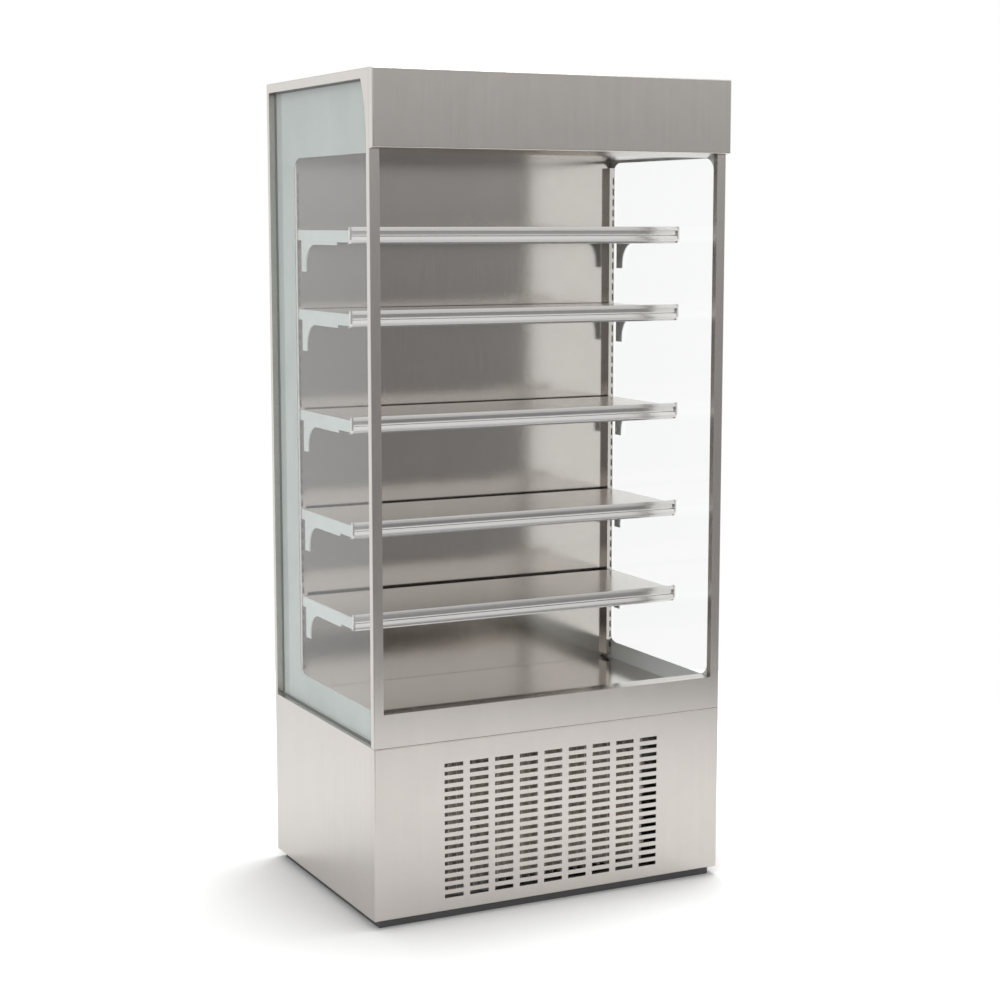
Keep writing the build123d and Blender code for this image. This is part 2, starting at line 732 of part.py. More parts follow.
def return_bend(x, y, z, height, reach, radius):
    """Short loop of tube joining two passes of a coil; a negative reach faces left."""
    sink = math.copysign(3, reach)
    points = [(x - sink, y, z), (x + reach, y, z), (x + reach, y, z + height), (x - sink, y, z + height)]
    return tube(points, radius, abs(reach) * 0.6)


def condenser_coil():
    """Finned coil behind the slots with its return bends and feet."""
    coil = finned_core(COIL_X0, COIL_X1, COIL_Y0, COIL_Y1, COIL_Z0, COIL_Z1, 20.0, 1.8)
    middle = (COIL_Y0 + COIL_Y1) / 2
    pitch = (COIL_Z1 - COIL_Z0) / 5
    for index in range(4):
        low = COIL_Z0 + (index + 0.4) * pitch
        coil += return_bend(COIL_X1, middle, low, pitch * 0.5, 16, 4)
        coil += return_bend(COIL_X0, middle, low + pitch * 0.5, pitch * 0.5, -16, 4)
    for x in (COIL_X0 + 30, COIL_X1 - 30):
        coil += block(x - 20, x + 20, COIL_Y0 + 2, COIL_Y1 - 2, PAN_FLOOR, COIL_Z0)
    return coil


def condenser_shroud():
    """Sheet hood behind the coil with a fan ring in its rear wall."""
    wall = 1.5
    foot = COIL_Z0 - 5
    hood = block(COIL_X0, COIL_X1, COIL_Y1, HOOD_Y1, foot, COIL_Z1)
    sides = (COIL_X0 + wall, COIL_X1 - wall)
    hood -= block(*sides, COIL_Y1 - 1, HOOD_Y1 - wall, foot + wall, COIL_Z1 - wall)
    ring_y = HOOD_Y1 + FAN_GAP + 3
    hood += level_drum(FAN_X, ring_y, FAN_Z, FAN_R + 7, 20, 48)
    hood -= level_drum(FAN_X, ring_y, FAN_Z, FAN_R + 5, 60, 48)
    for x in (COIL_X0 + 22, COIL_X1 - 22):
        hood += block(x - 20, x + 20, COIL_Y1 + 2, HOOD_Y1 - 2, PAN_FLOOR, foot)
    return hood


def fan_rotor(radius, hub, depth, blades, pitch):
    """Axial fan about local Z: hub and bent blades."""
    half = depth / math.sin(math.radians(pitch)) * 0.4
    bulge = half * 0.2
    thick = 1.6
    section = polygon(
        [(-half, 0), (0, bulge), (half, 0), (half, -thick), (0, bulge - thick), (-half, -thick)]
    )
    root = hub - 2
    blade = extrude(Plane.YZ * (Rot(0, 0, pitch) * section), amount=radius - 1.5 - root)
    blade = Pos(root, 0, 0) * blade
    rotor = drum(hub, depth)
    for index in range(blades):
        rotor += Rot(0, 0, index * 360 / blades) * blade
    return rotor


def condenser_fan():
    """Rotor inside the hood ring, on the motor shaft."""
    rotor = fan_rotor(FAN_R - 6, 30, FAN_DEPTH, 5, 32) - Cylinder(4.05, 2 * FAN_DEPTH)
    return Pos(FAN_X, FAN_Y, FAN_Z) * (Rot(90, 0, 0) * rotor)


def condenser_fan_motor():
    """Motor can, shaft and the folded stand that holds it up from the base pan."""
    y0 = FAN_Y + FAN_DEPTH / 2 + 3
    y1 = y0 + MOTOR_LENGTH
    can = level_drum(FAN_X, (y0 + y1) / 2, FAN_Z, 38, MOTOR_LENGTH)
    shaft = level_cylinder(FAN_X, y0 - 8, FAN_Z, 4, 40)
    stand = block(FAN_X - 28, FAN_X + 28, y0 + 22, y0 + 42, PAN_FLOOR, FAN_Z - 20)
    stand -= block(FAN_X - 25, FAN_X + 25, y0 + 24, y0 + 43, PAN_FLOOR + 3, FAN_Z - 45)
    return can + shaft + stand


def mount_points():
    return [(sx * MOUNT_X, sy * MOUNT_Y) for sx in (-1, 1) for sy in (-1, 1)]


def compressor():
    """Hermetic compressor: two welded shells on a foot plate, with its terminal cover."""
    seam = POT_HEIGHT * 0.52
    rings = [
        (13, POT_R * 0.67),
        (34, POT_R),
        (seam - 5, POT_R),
        (seam - 4, POT_R + 5),
        (seam + 4, POT_R + 5),
        (seam + 5, POT_R),
        (POT_HEIGHT - 44, POT_R),
        (POT_HEIGHT - 12, POT_R * 0.72),
        (POT_HEIGHT, POT_R * 0.3),
    ]
    pot = turned(rings) + block(-45, 45, -45, 45, 3, 14)
    pot += block(-98, 98, -70, 70, 0, 4)
    for x, y in mount_points():
        pot -= Pos(x, y, 2) * drum(6.5, 8, 12)
    pot += block(-34, 34, -108, -76, seam - 44, seam - 8)
    return Pos(COMP_X, COMP_Y, COMP_BASE) * pot


def compressor_mounts():
    """Four rubber grommets between foot plate and base pan."""
    height = COMP_BASE - PAN_FLOOR
    body = extrude(RegularPolygon(12, 12), amount=height)
    neck = extrude(RegularPolygon(6, 12), amount=height + 5)
    cap = Pos(0, 0, height + 4) * extrude(RegularPolygon(10, 12), amount=4)
    mount = body + neck + cap
    return [Pos(COMP_X + x, COMP_Y + y, PAN_FLOOR) * mount for x, y in mount_points()]


def refrigerant_lines():
    """Discharge line to the coil, liquid line with its drier, suction line from the well."""
    under = TUB_BOTTOM - SHEET - FIT
    riser_y = COMP_Y + 125
    hose_z = COMP_BASE + 70
    run_y = HOOD_Y1 + 25
    turn_x = COMP_X - 125
    riser_x = COIL_X1 + 20
    coil_y = COIL_Y1 + 8
    top_z = COIL_Z1 - 52
    discharge = tube(
        [
            (COMP_X - POT_R, COMP_Y, hose_z),
            (turn_x, COMP_Y, hose_z),
            (turn_x, run_y, hose_z),
            (riser_x, run_y, hose_z),
            (riser_x, run_y, top_z),
            (riser_x, coil_y, top_z),
        ],
        4,
    )
    left_x = COIL_X0 - 15
    drier_x = COIL_X0 + 95
    drier_y = FAN_Y + 174
    drier_z = PAN_FLOOR + 25
    drier = Pos(drier_x, drier_y, drier_z) * (Rot(0, 90, 0) * drum(12, 110, 16))
    liquid = tube(
        [
            (left_x, coil_y, COIL_Z0 + 55),
            (left_x, drier_y, COIL_Z0 + 55),
            (left_x, drier_y, drier_z),
            (drier_x - 50, drier_y, drier_z),
        ],
        3.5,
    )
    left_riser = drier_x + 100
    capillary = tube(
        [
            (drier_x + 50, drier_y, drier_z),
            (left_riser, drier_y, drier_z),
            (left_riser, riser_y, drier_z),
            (left_riser, riser_y, under),
        ],
        3.5,
    )
    suction = tube(
        [
            (COMP_X, COMP_Y + POT_R, hose_z + 40),
            (COMP_X, riser_y, hose_z + 40),
            (COMP_X, riser_y, under),
        ],
        6,
        14,
    )
    return discharge, drier + liquid + capillary, suction


def control_box():
    """Folded electrical box; two ears behind its switch opening carry the rocker's pins."""
    y1 = BOX_Y0 + BOX_DEPTH
    wall = BOX_SHEET
    outer = block(BOX_X0, BOX_X1, BOX_Y0, y1, BOX_Z0, BOX_Z1)
    sides = (BOX_X0 + wall, BOX_X1 - wall)
    inner = block(*sides, BOX_Y0 + wall, y1 - wall, BOX_Z0 + wall, BOX_Z1 - wall)
    gap = SWITCH_HALF + 0.3
    gap_x = (SWITCH_X - gap, SWITCH_X + gap)
    shell = outer - inner - block(*gap_x, BOX_Y0 - 1, BOX_Y0 + 3, SWITCH_Z - 12, SWITCH_Z + 12)
    for side in (-1, 1):
        near = SWITCH_X + side * gap
        edges = sorted((near, near + side * 2))
        shell += block(*edges, BOX_Y0 + wall, BOX_Y0 + 10, SWITCH_Z - 6, SWITCH_Z + 6)
    bore = Pos(SWITCH_X, BOX_Y0 + 5, SWITCH_Z) * (Rot(0, 90, 0) * Cylinder(PIN_R + PIN_PLAY, 40))
    return shell - bore


def light_switch():
    """Rocker on two stub pins, tipped to its on position."""
    face = polygon([(-9.5, -10), (-7.2, 0), (-9.5, 10), (3, 7), (3, -7)])
    rocker = side_prism(face, -SWITCH_HALF, SWITCH_HALF)
    rocker += Rot(0, 90, 0) * Cylinder(PIN_R, 2 * SWITCH_HALF + 4)
    return Pos(SWITCH_X, BOX_Y0 + 5, SWITCH_Z) * (Rot(SWITCH_TILT, 0, 0) * rocker)


def condensate_pan():
    """Shallow tray on the base pan that evaporates the defrost water."""
    x0 = 32.0 - HALF_W
    x1 = x0 + 130
    y0 = COMP_Y
    y1 = REAR_SKIN_Y - 14
    wall = 2.0
    rim = 4.0
    height = 60.0
    outer = block(x0, x1, y0, y1, PAN_FLOOR, PAN_FLOOR + height)
    outer += block(x0 - rim, x1 + rim, y0 - rim, y1 + rim, PAN_FLOOR + height - wall, PAN_FLOOR + height)
    inner = block(x0 + wall, x1 - wall, y0 + wall, y1 - wall, PAN_FLOOR + wall, PAN_FLOOR + height)
    return outer - fillet(inner.edges().filter_by(Axis.Z), 14)


def evaporator_coil():
    """Finned coil standing on end plates at the foot of the rear duct."""
    gap = 4.0
    half = LINER_IN - 49
    y0 = LINER_Y + LINER + gap
    y1 = DUCT_BACK_Y - gap
    top = FIN_BASE + FIN_HEIGHT
    coil = finned_core(-half, half, y0, y1, FIN_BASE, top, 30.0, 2.0)
    coil += block(-half, 16 - half, y0 + 1, y1 - 1, TUB_FLOOR, FIN_BASE)
    coil += block(half - 16, half, y0 + 1, y1 - 1, TUB_FLOOR, FIN_BASE)
    coil += return_bend(half, DUCT_MID_Y, FIN_BASE + 25, 60, 14, 4)
    coil += return_bend(-half, DUCT_MID_Y, FIN_BASE + 40, 60, -14, 4)
    return coil


def evaporator_fan_plate():
    """Plate across the duct with its fan holes and the motors on their spiders."""
    y0 = LINER_Y + LINER + FIT
    y1 = DUCT_BACK_Y - FIT
    x = LINER_IN - 1.5
    z = DUCT_FAN_Z - DUCT_FAN_DEPTH
    plate = block(-x, x, y0, y1, z, z + 1.5)
    plate += side_flanges(x, 1.5, y0, y1, z, z + 20)
    for fan_x in DUCT_FAN_XS:
        plate -= Pos(fan_x, DUCT_MID_Y, z) * drum(DUCT_FAN_R + 2, 10, 36)
    for fan_x in DUCT_FAN_XS:
        arm = DUCT_FAN_R + 3
        plate += block(fan_x - arm, fan_x + arm, DUCT_MID_Y - 3, DUCT_MID_Y + 3, z, z + 3)
        plate += Pos(fan_x, DUCT_MID_Y, z) * extrude(RegularPolygon(14, 12), amount=6)
        plate += Pos(fan_x, DUCT_MID_Y, z + 13) * Cylinder(2, 20)
    return plate


def evaporator_fan(fan_x):
    """Small rotor turning on the spider's pin."""
    rotor = fan_rotor(DUCT_FAN_R, 15, DUCT_FAN_DEPTH, 5, 34) - Cylinder(2.05, 2 * DUCT_FAN_DEPTH)
    return Pos(fan_x, DUCT_MID_Y, DUCT_FAN_Z) * rotor


# ---------------------------------------------------------------- files


def write_pair(name, right):
    """Right-hand piece and its mirror image."""
    write(f"{name}_right", right)
    write(f"{name}_left", mirrored(right))


write("plinth_frame", *plinth_frame())
write("base_pan", base_pan())
write_pair("side_panel", side_panel())
write("service_panel", service_panel())
write("rear_vent_panel", rear_vent_panel())
write("tub_support", tub_support())
write("front_frame", front_frame())
write_pair("side_frame", side_frame())
write_pair("side_glass", side_glass())
right_gasket = glazing_gasket()
write("glazing_gaskets", right_gasket, mirrored(right_gasket))
write_pair("side_liner", side_liner())
write("header_fascia", header_fascia())
write("roof_panel", roof_panel())
write("back_panel", back_panel())
write("insulation_tub", insulation_tub())
write("insulation_back", insulation_back())
write("insulation_canopy", insulation_canopy())
write("back_liner", back_liner())
write("canopy_soffit", canopy_soffit())
write("air_outlet_honeycomb", air_outlet_honeycomb())
write("led_profile", led_profile())
write("led_diffuser", led_diffuser())
write("well_liner", well_liner())
write_pair("shelf_upright", upright())
for number, rail_top in enumerate(RAIL_TOPS, start=1):
    right_bracket = bracket(rail_top)
    write(f"shelf_brackets_{number}", right_bracket, mirrored(right_bracket))
    write(f"shelf_pan_{number}", shelf_pan(rail_top))
    write(f"price_rail_{number}", *price_rail(rail_top))
write("deck_pan", deck_pan())
write("return_air_grille", return_air_grille())
write("condenser_coil", condenser_coil())
write("condenser_shroud", condenser_shroud())
write("condenser_fan", condenser_fan())
write("condenser_fan_motor", condenser_fan_motor())
write("compressor", compressor())
write("compressor_mounts", *compressor_mounts())
write("refrigerant_lines", *refrigerant_lines())
write("control_box", control_box())
write("light_switch", light_switch())
write("condensate_pan", condensate_pan())
write("evaporator_coil", evaporator_coil())
write("evaporator_fan_plate", evaporator_fan_plate())
for number, fan_x in enumerate(DUCT_FAN_XS, start=1):
    write(f"evaporator_fan_{number}", evaporator_fan(fan_x))
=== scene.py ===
"""Looks of an open multideck display fridge: finishes, softened sheet edges, floor, light and camera."""
import json
import math

import bmesh
import bpy
from mathutils import Euler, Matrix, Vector


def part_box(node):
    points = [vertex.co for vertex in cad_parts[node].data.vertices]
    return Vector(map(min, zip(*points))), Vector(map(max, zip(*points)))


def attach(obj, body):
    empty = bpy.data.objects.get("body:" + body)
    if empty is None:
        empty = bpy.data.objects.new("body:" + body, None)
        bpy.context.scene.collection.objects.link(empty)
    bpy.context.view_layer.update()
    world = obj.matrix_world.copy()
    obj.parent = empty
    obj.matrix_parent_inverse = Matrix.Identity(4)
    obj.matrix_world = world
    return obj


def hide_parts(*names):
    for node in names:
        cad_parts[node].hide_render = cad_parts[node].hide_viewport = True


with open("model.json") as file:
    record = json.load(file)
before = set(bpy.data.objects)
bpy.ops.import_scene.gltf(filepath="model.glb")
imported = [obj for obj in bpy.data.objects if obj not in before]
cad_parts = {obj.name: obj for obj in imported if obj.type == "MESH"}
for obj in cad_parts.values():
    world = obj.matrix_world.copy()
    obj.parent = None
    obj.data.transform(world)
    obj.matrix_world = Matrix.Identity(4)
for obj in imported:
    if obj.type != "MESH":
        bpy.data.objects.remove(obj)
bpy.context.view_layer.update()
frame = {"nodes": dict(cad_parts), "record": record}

MM = 0.001
CABINET = "cabinet"
SHELF_NUMBERS = (1, 2, 3, 4, 5)

# Viewpoint fitted to the cabinet's corners in the photograph.
SENSOR, LENS = 36.0, 73.044
CAMERA_PLACE = (-2.0789, -4.1541, 1.5067)
CAMERA_TILT, CAMERA_TURN = math.radians(82.247), math.radians(-26.713)

# Studio.
WHITE = (1.0, 1.0, 1.0, 1.0)
LAMP_AIM = (0.0, 0.0, 0.9)
FLOOR_RADIUS = 2.25
FLOOR_DROP = 0.5 * MM
# Painted glow of the floor, and the reach of the painted contact shadow cut into it.
FLOOR_FILL = 0.34
CONTACT_REACH = 0.30

# Edges and sheets.
SAME_POINT = 0.01 * MM
FLAT_ANGLE = math.radians(0.5)
BEND_ANGLE = math.radians(32.0)
RAIL_ANGLE = math.radians(24.0)
FOLD_BREAK = 0.25 * MM
EDGE_BREAK = 0.2 * MM
RAIL_PLAY = 0.2 * MM
RAIL_CAP = 4.0 * MM
SHEET_INSET = 0.8 * MM


# ---------------------------------------------------------------- camera and studio


def place_camera():
    """Viewpoint of the photograph: from the front left, a little above the cabinet's middle."""
    data = bpy.data.cameras.new("camera")
    data.sensor_width = SENSOR
    data.lens = LENS
    camera = bpy.data.objects.new("camera", data)
    camera.location = CAMERA_PLACE
    camera.rotation_euler = Euler((CAMERA_TILT, 0.0, CAMERA_TURN))
    bpy.context.scene.collection.objects.link(camera)
    bpy.context.scene.camera = camera


def link(shape, name):
    """Puts a mesh in the scene as an object at the origin."""
    item = bpy.data.objects.new(name, shape)
    bpy.context.scene.collection.objects.link(item)
    return item


def place_lamp(name, location, size, power, mirrored=True):
    """Square soft box turned towards the cabinet; one that isn't mirrored leaves no image in the steel."""
    data = bpy.data.lights.new(name, "AREA")
    data.shape = "SQUARE"
    data.size = size
    data.energy = power
    lamp = bpy.data.objects.new(name, data)
    lamp.location = location
    away = Vector(location) - Vector(LAMP_AIM)
    lamp.rotation_euler = away.to_track_quat("Z", "Y").to_euler()
    lamp.visible_glossy = mirrored
    bpy.context.scene.collection.objects.link(lamp)


# ---------------------------------------------------------------- node wiring


def node(tree, kind, inputs=None, **settings):
    """Adds one node; an input is given a value or another node's output."""
    made = tree.nodes.new(kind)
    for key, value in settings.items():
        setattr(made, key, value)
    for key, value in (inputs or {}).items():
        if isinstance(value, bpy.types.NodeSocket):
            tree.links.new(value, made.inputs[key])
        else:
            made.inputs[key].default_value = value
    return made


def maths(tree, operation, first, second=0.0, clamp=False):
    """One sum, product or comparison of two values."""
    inputs = {0: first, 1: second}
    return node(tree, "ShaderNodeMath", inputs, operation=operation, use_clamp=clamp).outputs[0]


def scaled(tree, vector, factor):
    """Vector or colour times a value."""
    return node(tree, "ShaderNodeVectorMath", {0: vector, 3: factor}, operation="SCALE").outputs[0]


def surface_place(tree):
    """Place on the piece itself, so that a pattern rides with its piece."""
    return node(tree, "ShaderNodeTexCoord").outputs["Object"]


def spread(tree, value, low, high, out_low=0.0, out_high=1.0):
    """Stretches a range of values over another one."""
    inputs = {"Value": value, "From Min": low, "From Max": high, "To Min": out_low, "To Max": out_high}
    return node(tree, "ShaderNodeMapRange", inputs, clamp=True).outputs["Result"]


def noise(tree, vector, scale, detail=2.0, roughness=0.5):
    """Soft random pattern from 0 to 1."""
    inputs = {"Vector": vector, "Scale": scale, "Detail": detail, "Roughness": roughness}
    return node(tree, "ShaderNodeTexNoise", inputs).outputs["Fac"]


def blend_colours(tree, factor, first, second):
    """Colour between two colours."""
    mixer = tree.nodes.new("ShaderNodeMix")
    mixer.data_type = "RGBA"
    for slot, value in ((0, factor), (6, first), (7, second)):
        if isinstance(value, bpy.types.NodeSocket):
            tree.links.new(value, mixer.inputs[slot])
        elif slot == 0:
            mixer.inputs[slot].default_value = value
        else:
            mixer.inputs[slot].default_value = (*value, 1.0)
    return mixer.outputs[2]


def effect(name, inputs, outputs):
    """Empty shader group with named sockets."""
    group = bpy.data.node_groups.new(name, "ShaderNodeTree")
    for label, kind, default in inputs:
        socket = group.interface.new_socket(label, in_out="INPUT", socket_type=kind)
        socket.default_value = default
    for label in outputs:
        group.interface.new_socket(label, in_out="OUTPUT", socket_type="NodeSocketFloat")
    source = group.nodes.new("NodeGroupInput")
    sink = group.nodes.new("NodeGroupOutput")
    return group, source.outputs, sink.inputs


VALUE = "NodeSocketFloat"
VECTOR = "NodeSocketVector"
NOISE_MIDDLE = (0.3, 0.7)


def grain_effect():
    """Fine scratches of a brushing belt, with broader soft bands among them."""
    inputs = [("Stretch", VECTOR, (1.0, 1.0, 0.03)), ("Fineness", VALUE, 700.0), ("Bands", VALUE, 34.0)]
    group, given, made = effect("brushing_grain", inputs, ("Scratch", "Band"))
    place = surface_place(group)
    stretched = {0: place, 1: given["Stretch"]}
    along = node(group, "ShaderNodeVectorMath", stretched, operation="MULTIPLY").outputs[0]
    scratch = noise(group, along, given["Fineness"], 3.0, 0.65)
    band = noise(group, along, given["Bands"], 3.0, 0.55)
    group.links.new(spread(group, scratch, *NOISE_MIDDLE), made["Scratch"])
    group.links.new(spread(group, band, *NOISE_MIDDLE), made["Band"])
    return group


def smudge_effect():
    """Soft cloudy marks left by wiping and by hands."""
    inputs = [("Size", VALUE, 5.0), ("Cover", VALUE, 0.5)]
    group, given, made = effect("wiping_marks", inputs, ("Smudge",))
    place = surface_place(group)
    cloud = noise(group, place, given["Size"], 5.0, 0.6)
    low = maths(group, "SUBTRACT", 0.85, maths(group, "MULTIPLY", given["Cover"], 0.5))
    high = maths(group, "ADD", low, 0.18)
    group.links.new(spread(group, cloud, low, high), made["Smudge"])
    return group


def dust_effect():
    """Thin dust that settles on faces looking up."""
    inputs = [("Amount", VALUE, 0.3)]
    group, given, made = effect("settled_dust", inputs, ("Dust",))
    facing = node(group, "ShaderNodeNewGeometry").outputs["Normal"]
    up = node(group, "ShaderNodeSeparateXYZ", {0: facing}).outputs["Z"]
    flat = spread(group, up, 0.6, 0.95)
    place = surface_place(group)
    speck = spread(group, noise(group, place, 55.0, 4.0, 0.7), 0.4, 0.65)
    patch = spread(group, noise(group, place, 4.0, 2.0), 0.3, 0.75)
    cover = maths(group, "MULTIPLY", maths(group, "MULTIPLY", speck, patch), flat)
    group.links.new(maths(group, "MULTIPLY", cover, given["Amount"]), made["Dust"])
    return group


def rub_effect():
    """Edges and corners rubbed by use; on stainless the lightening it drives is also a painted edge
    highlight.
    """
    inputs = [("Width", VALUE, 0.0012), ("Amount", VALUE, 0.5)]
    group, given, made = effect("rubbed_edges", inputs, ("Rub",))
    rounded = node(group, "ShaderNodeBevel", {"Radius": given["Width"]}, samples=4).outputs["Normal"]
    plain = node(group, "ShaderNodeNewGeometry").outputs["Normal"]
    both = {0: rounded, 1: plain}
    match = node(group, "ShaderNodeVectorMath", both, operation="DOT_PRODUCT").outputs["Value"]
    turned = spread(group, match, 0.995, 0.85)
    place = surface_place(group)
    broken = spread(group, noise(group, place, 90.0, 4.0, 0.7), 0.35, 0.65, 0.25, 1.0)
    cover = maths(group, "MULTIPLY", maths(group, "MULTIPLY", turned, broken), given["Amount"])
    group.links.new(cover, made["Rub"])
    return group


GRAIN = grain_effect()
SMUDGE = smudge_effect()
DUST = dust_effect()
RUB = rub_effect()


def apply_effect(tree, group, **values):
    """Places an effect in a material with its own values; returns its outputs."""
    made = node(tree, "ShaderNodeGroup", node_tree=group)
    for key, value in values.items():
        made.inputs[key.replace("_", " ").title()].default_value = value
    return made.outputs


# ---------------------------------------------------------------- finishes

UPRIGHT_GRAIN = (1.0, 1.0, 0.02)
RAIL_GRAIN = (0.004, 1.0, 1.0)
FIN_GRAIN = (1.0, 1.0, 0.08)
STEEL_DUST = (0.44, 0.43, 0.41)
COAT_DUST = (0.45, 0.43, 0.40)
ZINC_DUST = (0.36, 0.34, 0.31)
PLASTIC_DUST = (0.42, 0.40, 0.37)


def finish_tree(name, **constants):
    """New material with a Principled shader whose plain values are set on its sockets."""
    material = bpy.data.materials.new(name)
    material.use_nodes = True
    tree = material.node_tree
    shader = tree.nodes["Principled BSDF"]
    for key, value in constants.items():
        shader.inputs[key.replace("_", " ").title().replace("Ior", "IOR")].default_value = value
    return material, tree, shader


def wire(tree, shader, colour=None, roughness=None, height=None, strength=0.1, distance=0.0005):
    """Joins colour, roughness and a bump height to the shader."""
    if colour is not None:
        tree.links.new(colour, shader.inputs["Base Color"])
    if roughness is not None:
        tree.links.new(roughness, shader.inputs["Roughness"])
    if height is not None:
        bump = node(tree, "ShaderNodeBump", {"Strength": strength, "Distance": distance, "Height": height})
        tree.links.new(bump.outputs["Normal"], shader.inputs["Normal"])


def steel(level):
    """Warm grey of stainless steel at one lightness."""
    return (level * 1.055, level, level * 0.945)


def stainless(name, level, rough, bands=60.0, contrast=0.014, mottle=0.01):
    """Brushed or polished stainless sheet: upright grain, faint mottling, wiping marks, and edges
    lightened as rubbed wear plus a painted edge highlight.
    """
    material, tree, shader = finish_tree(name, metallic=1.0)
    grain = apply_effect(tree, GRAIN, stretch=UPRIGHT_GRAIN, bands=bands)
    marks = apply_effect(tree, SMUDGE, size=3.5, cover=0.45)
    rub = apply_effect(tree, RUB, width=0.0012, amount=0.6)
    dust = apply_effect(tree, DUST, amount=0.08)
    place = surface_place(tree)
    cloud = spread(tree, noise(tree, place, 16.0, 5.0, 0.6), *NOISE_MIDDLE)
    mottled = blend_colours(tree, cloud, steel(level - mottle), steel(level + mottle))
    tone = spread(tree, grain["Band"], 0.0, 1.0, 1.0 - contrast, 1.0 + contrast)
    fine = spread(tree, grain["Scratch"], 0.0, 1.0, 1.0 - 0.6 * contrast, 1.0 + 0.6 * contrast)
    shade = maths(tree, "MULTIPLY", tone, fine)
    grained = scaled(tree, mottled, shade)
    # The edge mask lightens the steel: rubbed wear plus a painted edge highlight.
    rubbed = blend_colours(tree, rub["Rub"], grained, steel(level + 0.12))
    colour = blend_colours(tree, dust["Dust"], rubbed, STEEL_DUST)
    base = spread(tree, grain["Scratch"], 0.0, 1.0, rough - 0.03, rough + 0.03)
    wiped = maths(tree, "ADD", base, maths(tree, "MULTIPLY", marks["Smudge"], 0.07))
    dusty = maths(tree, "ADD", wiped, maths(tree, "MULTIPLY", dust["Dust"], 0.4), clamp=True)
    wire(tree, shader, colour, dusty, grain["Scratch"], 0.05, 0.0002)
    return material


def powder_coat(name, colour, rough, edge, speckle=420.0):
    """Powder coat with orange peel, wiping marks, thin dust and rubbed edges."""
    material, tree, shader = finish_tree(name)
    marks = apply_effect(tree, SMUDGE, size=6.0, cover=0.5)
    rub = apply_effect(tree, RUB, width=0.001, amount=0.55)
    dust = apply_effect(tree, DUST, amount=0.12)
    place = surface_place(tree)
    peel = noise(tree, place, speckle, 2.0, 0.5)
    cloud = spread(tree, noise(tree, place, 9.0, 3.0), *NOISE_MIDDLE)
    darker = tuple(channel * 0.93 for channel in colour)
    toned = blend_colours(tree, cloud, darker, colour)
    rubbed = blend_colours(tree, rub["Rub"], toned, edge)
    dusted = blend_colours(tree, dust["Dust"], rubbed, COAT_DUST)
    level = maths(tree, "ADD", spread(tree, peel, *NOISE_MIDDLE, rough - 0.05, rough + 0.05),
                  maths(tree, "MULTIPLY", marks["Smudge"], 0.12))
    wire(tree, shader, dusted, level, peel, 0.12, 0.0003)
    return material


def galvanised():
    """Zinc-coated sheet with its crystal spangle and dull white bloom."""
    material, tree, shader = finish_tree("galvanised_sheet", metallic=1.0)
    place = surface_place(tree)
    bent = node(tree, "ShaderNodeTexNoise", {"Vector": place, "Scale": 40.0}).outputs["Color"]
    shifted = {0: place, 1: scaled(tree, bent, 0.012)}
    moved = node(tree, "ShaderNodeVectorMath", shifted, operation="ADD").outputs[0]
    cells = node(tree, "ShaderNodeTexVoronoi", {"Vector": moved, "Scale": 130.0})
    crystal = node(tree, "ShaderNodeSeparateXYZ", {0: cells.outputs["Color"]}).outputs["X"]
    bloom = spread(tree, noise(tree, place, 8.0, 5.0, 0.65), 0.45, 0.7)
    facets = blend_colours(tree, crystal, (0.475, 0.48, 0.485), (0.565, 0.57, 0.575))
    colour = blend_colours(tree, maths(tree, "MULTIPLY", bloom, 0.3), facets, (0.62, 0.62, 0.615))
    dust = apply_effect(tree, DUST, amount=0.25)
    dusted = blend_colours(tree, dust["Dust"], colour, ZINC_DUST)
    rough = maths(tree, "ADD", spread(tree, crystal, 0.0, 1.0, 0.32, 0.40),
                  maths(tree, "MULTIPLY", bloom, 0.15))
    wire(tree, shader, dusted, rough, crystal, 0.08, 0.0003)
    return material


def moulded(name, colour, rough):
    """Moulded plastic: fine matt texture, faint flow marks and scuffed edges."""
    material, tree, shader = finish_tree(name)
    rub = apply_effect(tree, RUB, width=0.0008, amount=0.4)
    dust = apply_effect(tree, DUST, amount=0.25)
    place = surface_place(tree)
    texture = noise(tree, place, 900.0, 2.0)
    flow = spread(tree, noise(tree, place, 18.0, 3.0), *NOISE_MIDDLE)
    lighter = tuple(min(1.0, channel * 1.12 + 0.006) for channel in colour)
    toned = blend_colours(tree, flow, colour, lighter)
    scuffed = blend_colours(tree, rub["Rub"], toned, tuple(channel * 0.7 + 0.15 for channel in colour))
    dusted = blend_colours(tree, dust["Dust"], scuffed, PLASTIC_DUST)
    level = spread(tree, texture, *NOISE_MIDDLE, rough - 0.06, rough + 0.06)
    wire(tree, shader, dusted, level, texture, 0.15, 0.0002)
    return material


def rubber(name, colour):
    """Extruded rubber: chalky bloom on a matt skin."""
    material, tree, shader = finish_tree(name)
    place = surface_place(tree)
    bloom = spread(tree, noise(tree, place, 30.0, 4.0, 0.7), 0.45, 0.75)
    skin = noise(tree, place, 1200.0, 2.0)
    bleached = tuple(channel * 0.8 + 0.09 for channel in colour)
    toned = blend_colours(tree, bloom, colour, bleached)
    wire(tree, shader, toned, spread(tree, bloom, 0.0, 1.0, 0.62, 0.85), skin, 0.2, 0.0002)
    return material


def foam():
    """Sawn polyurethane foam: open cells darkened with painted shade in their pores, and a yellowed skin.
    """
    material, tree, shader = finish_tree("insulating_foam", subsurface_weight=0.05)
    place = surface_place(tree)
    cells = node(tree, "ShaderNodeTexVoronoi", {"Vector": place, "Scale": 900.0}).outputs["Distance"]
    age = spread(tree, noise(tree, place, 6.0, 4.0, 0.6), *NOISE_MIDDLE)
    colour = blend_colours(tree, age, (0.80, 0.72, 0.50), (0.90, 0.85, 0.68))
    # Dark brown at the cell centres is painted shade inside the open pores.
    pore_shaded = blend_colours(tree, spread(tree, cells, 0.0, 0.5), (0.55, 0.47, 0.30), colour)
    wire(tree, shader, pore_shaded, spread(tree, age, 0.0, 1.0, 0.8, 0.95), cells, 0.4, 0.0006)
    return material


